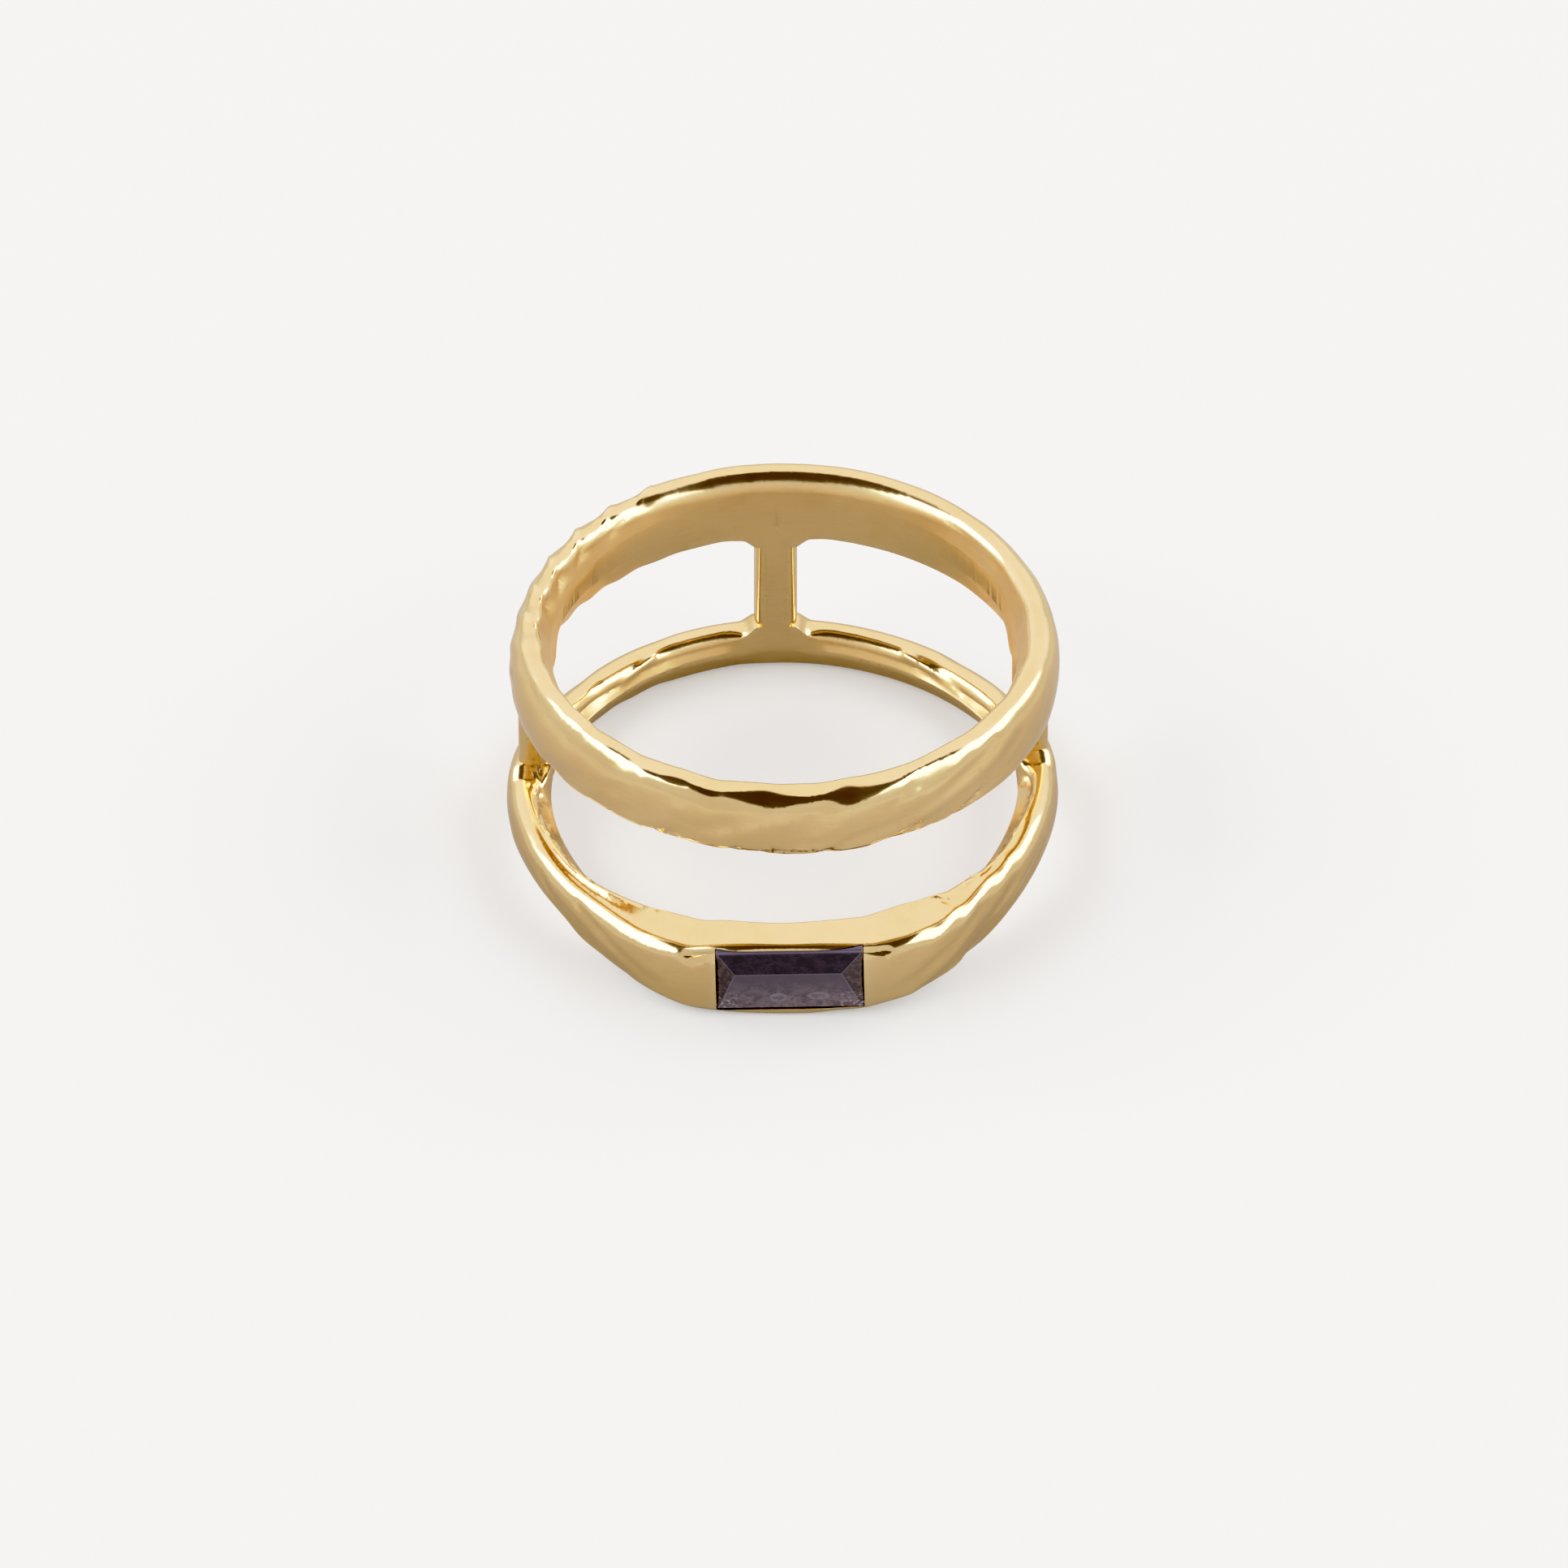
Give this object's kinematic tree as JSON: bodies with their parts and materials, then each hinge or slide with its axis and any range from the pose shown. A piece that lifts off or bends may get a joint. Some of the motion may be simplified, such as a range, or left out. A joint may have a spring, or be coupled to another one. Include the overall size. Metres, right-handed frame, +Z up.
{
  "type": "double ring",
  "caption": "Finger ring of two fluted gold bands joined by slim bars, with a dark violet baguette stone set flush in the deep front of the lower band; it lies on its side.",
  "frame": {"origin": "the table under the middle of the ring's box, as it lies on its lower band", "axes": "+Z up, along the finger hole but for its lean; -Y towards the front, where the stone is; +X to the right as seen from the front"},
  "size_m": [0.0206, 0.0208, 0.0103],
  "materials": {
    "gold": "polished",
    "stone": "polished"
  },
  "bodies": {
    "root": {"ring_body": "gold", "stone": "stone"}
  },
  "joints": []
}
